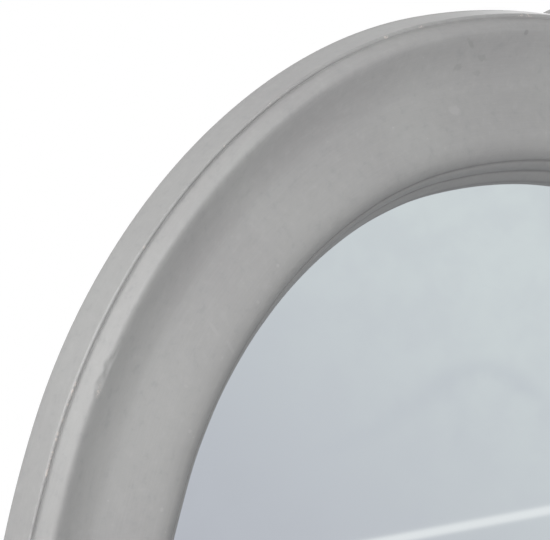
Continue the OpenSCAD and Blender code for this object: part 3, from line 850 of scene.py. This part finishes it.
def shell():
    """Shell about its centre, from the middle of the front round to the middle of the back. Its edge is the
    nearer of a scalloped circle and the frame. From the middle out come a domed boss, a bead and flutes,
    which bulge by a quarter of a sine wave."""
    boss_h, bulge_h, bulge_from, bulge_w, rim_w = 8.6, 4.6, 17.0, 32.0, 6.5
    degrees = np.linspace(-90, 270, 384, endpoint=False)
    way = toward(degrees)
    flute = (degrees - 90 + shell_span / 2) / (shell_span / (flute_count - 1))
    flute = np.abs(flute - np.round(flute)) * 2
    scallop = shell_r - 4 + 4 * np.sqrt(1 - 0.97 * flute**2)
    gap = shell_c - np.where(way[:, :1] < 0, cleft_c, cleft_c * [-1, 1])
    b = (way * gap).sum(1)
    room = b**2 - (gap**2).sum(1) + (cleft_r + seat_gap) ** 2
    to_frame = np.where((room > 0) & (b < 0), -b - np.sqrt(np.maximum(room, 0)), shell_r)
    edge = np.minimum(scallop, to_frame)
    share = np.concatenate([np.linspace(0.005, 0.9, 64), np.linspace(0.9, 1, 14)[1:]])[:, None]
    r = share * edge
    boss = leaf_front - 0.8 + boss_h * np.sqrt(np.clip(1 - (r / boss_r) ** 2, 0, 1)) * (r < boss_r)
    bead = leaf_front - 1 + np.sqrt(np.clip(bead_half**2 - (r - bead_r) ** 2, 0, 4))
    bulge = leaf_front + bulge_h * np.sin(np.pi / 2 * np.clip((r - bulge_from) / bulge_w, 0, 1))
    hollow = (1 - np.sqrt(1 - 0.93 * flute**2)) * (1.2 + 4.2 * r / shell_r)
    rim = np.clip((r - scallop + rim_w) / rim_w, 0, 1)
    flutes = 6 + (bulge - hollow - 6) * np.sqrt(1 - 0.98 * rim**2)
    v = np.where(r < boss_r, boss, np.where(r < flutes_r, bead, flutes))
    down = np.array([0.75, 0.5, 0.25, 0.03, 0])[:, None]
    wall = leaf_back + down * (v[-1] - leaf_back)
    rear = np.array([0.7, 0.3, 0.01])[:, None] * edge
    r_all = np.concatenate([r, edge + 0 * wall, rear])
    v_all = np.concatenate([v, wall, leaf_back + 0 * rear])
    # Painted shade in the flutes and in rings round the edges of the boss and the bead
    rings = sum(np.exp(-(((r - at) / 0.8) ** 2)) for at in (boss_r + 0.4, flutes_r + 0.1))
    shade_mask = np.clip(flute**4 * (r > flutes_r) + rings, 0, 1)
    shade_mask_all = np.concatenate([0.55 * shade_mask, 0 * wall, 0 * rear])
    return shell_c + r_all[..., None] * way, v_all, shade_mask_all


def carved(name, node, shape, hand):
    """Carved piece in the frame's paint. Its back is bare, except behind the tips of the leaves."""
    painted_tip = 12.0
    xy, v, shade_mask = shape
    x, y = hand * xy[..., 0], xy[..., 1]
    piece = skin(name, [hang(x, y, v)], hand < 0)
    label(piece, "painted", (v > leaf_back) | (np.abs(x) > leaf_end - painted_tip))
    # Painted shade in the creases of the carving
    label(piece, "painted_shade", shade_mask)
    chart(piece, "run", x / 1000, y / 1000)
    chart(piece, "plank", x / 1000, y / 1000)
    wear(piece, grey_paint)
    fit(piece, "mirror_frame", "painted_wood", node)


carved("leaf_left", "crest_leaf_left", leaf(), 1)
carved("leaf_right", "crest_leaf_right", leaf(), -1)
carved("shell", "crest_shell", shell(), 1)

# Studio. A pale floor, five broad lamps, a white surround that is a little darker in front of the glass, and
# the camera where the photograph was taken.
view_azimuth, view_drop, view_roll = np.radians([42.24, 9.145, 5.217])
view_target = np.array([-0.295746, -0.006, 0.132457])
view_distance = 1.0712
view_lens = 160.48
picture_w, picture_h = 550, 540

sight = np.array(
    [np.sin(view_azimuth) * np.cos(view_drop), np.cos(view_azimuth) * np.cos(view_drop), -np.sin(view_drop)]
)
level = np.array([np.cos(view_azimuth), -np.sin(view_azimuth), 0])
upward = np.cross(level, sight)
across = np.cos(view_roll) * level + np.sin(view_roll) * upward
upright = np.cos(view_roll) * upward - np.sin(view_roll) * level
camera = bpy.data.objects.new("camera", bpy.data.cameras.new("camera"))
camera.data.lens = view_lens
camera.data.clip_start = 0.05
camera.matrix_world = Matrix.Translation(view_target - view_distance * sight) @ Matrix(
    np.stack([across, upright, -sight], 1).tolist()
).to_4x4()
bpy.context.scene.collection.objects.link(camera)
bpy.context.scene.camera = camera
bpy.context.scene.view_settings.view_transform = "Standard"
pixel = camera.data.sensor_width / view_lens / picture_w
lamp_w = 1.6


def lamp(name, place, aim, watts):
    """Square area lamp that faces a point."""
    data = bpy.data.lights.new(name, "AREA")
    data.size, data.energy = lamp_w, watts
    light = bpy.data.objects.new(name, data)
    light.location = place
    light.rotation_euler = (Vector(aim) - Vector(place)).to_track_quat("-Z", "Y").to_euler()
    bpy.context.scene.collection.objects.link(light)
    return light


lamp("key", (-2.2, -1.6, 1.3), (0, 0, 0.1), 37.5)
lamp("front", (-0.7, -3.0, 0.2), (-0.2, 0, 0), 25).visible_glossy = False
lamp("rim", (-2.4, 0.6, 1.1), (0, 0, 0.1), 24)
lamp("side", (2.4, 1.4, 0.5), (0, 0, 0), 6.5)
lamp("behind", (0.9, 2.6, -0.7), (0, 0, -0.1), 24).visible_glossy = False


def light_path(nodes, kind):
    """1 for rays of a kind, such as those from the camera."""
    return Value(nodes, nodes.tree.nodes.new("ShaderNodeLightPath").outputs[kind])


def glimpse(x, y):
    """Direction that the glass shows at a point of the picture: the camera's ray, turned back in Y."""
    way = sight + ((x - picture_w / 2) * across - (y - picture_h / 2) * upright) * pixel
    return way / np.linalg.norm(way) * [1, -1, 1]


# What the glass shows: a pale grey that brightens up and to the right, a thin white band, and faint curved
# folds. A fold is an arc: its centre and radius in the picture, its middle, its reach and its depth
band_normal = (-0.022, -0.380, 0.925)
folds = [
    ((480, 447), 76.5, (490, 383), 93, 0.24),
    ((380, 426), 80.0, (455, 410), 49, 0.14),
    ((176, 45), 431.0, (375, 428), 86, 0.12),
]
surround = Nodes(bpy.data.worlds.new("studio"))
bpy.context.scene.world = surround.owner
direction = surround.add("ShaderNodeTexCoord", output=0)
x_way, y_way, z_way = (
    surround.add("ShaderNodeSeparateXYZ", values={0: direction}, output=i) for i in range(3)
)
drift = (x_way * 0.71 + z_way * 0.64).rise(0.26, 0.44)
shade = surround.mix(drift, colour(206, 206, 213), colour(232, 236, 236))
clouds = surround.noise(direction, 60.0, 4.0, 0.65)
shade = surround.mix(clouds.rise(0.35, 0.65) * 0.25, shade, colour(214, 215, 221))
for centre, r, middle, reach, depth in folds:
    ring = surround.apart(direction, *glimpse(*centre)) - r * pixel + (clouds - 0.5) * 0.012
    ring = ring.maths("ABSOLUTE", ring).rise(0.0065, 0.0)
    near = surround.apart(direction, *glimpse(*middle)).rise(reach * pixel, reach * pixel * 0.4)
    shade = surround.mix(ring * near * depth, shade, colour(204, 206, 214))
band = x_way * band_normal[0] + y_way * band_normal[1] + z_way * band_normal[2]
band = band.maths("ABSOLUTE", band).rise(0.0026, 0.0008) * x_way.rise(0.5, 0.6)
shade = surround.mix(band, shade, (1, 1, 1, 1))
shade = surround.mix(y_way.rise(-0.15, 0.2), shade, (1, 1, 1, 1))
fill_light = (0.21, 0.21, 0.21, 1)
shown = surround.mix(light_path(surround, "Is Glossy Ray"), fill_light, shade)
shown = surround.mix(light_path(surround, "Is Camera Ray"), shown, (1, 1, 1, 1))
surround.fill(surround.tree.nodes["Background"], {"Color": shown})


def pale_floor():
    """Pale grey floor that fades to the white of the surround, for the camera and in reflections."""
    n = finish("floor")
    n.fill(n.shader, {"Base Color": colour(226, 226, 226), "Roughness": 0.9})
    fade = n.apart(n.stretched(n.here, 1.0, 1.0, 0.0), 0.0, 0.0, 0.0).rise(0.3, 1.3) * 0.5 + 0.5
    seen = light_path(n, "Is Camera Ray").over(light_path(n, "Is Glossy Ray"))
    far_away = n.mix(light_path(n, "Is Glossy Ray"), (1, 1, 1, 1), colour(212, 213, 218))
    white = n.add("ShaderNodeEmission", values={"Color": far_away})
    lit = Value(n, n.shader.outputs[0])
    surface = n.add("ShaderNodeMixShader", values={0: fade * seen, 1: lit, 2: white})
    n.fill(n.tree.nodes["Material Output"], {"Surface": surface})
    return n


floor_r, floor_drop = 1.5, 0.02
floor_z = cad_low[2] - floor_drop
rim_points = floor_r * toward(np.arange(0, 360, 3.0))
floor_points = np.column_stack([rim_points, np.full(len(rim_points), floor_z)])
floor_mesh = bpy.data.meshes.new("floor")
floor_mesh.from_pydata(floor_points.tolist(), [], [list(range(len(floor_points)))])
floor = bpy.data.objects.new("floor", floor_mesh)
bpy.context.scene.collection.objects.link(floor)
wear(floor, pale_floor())
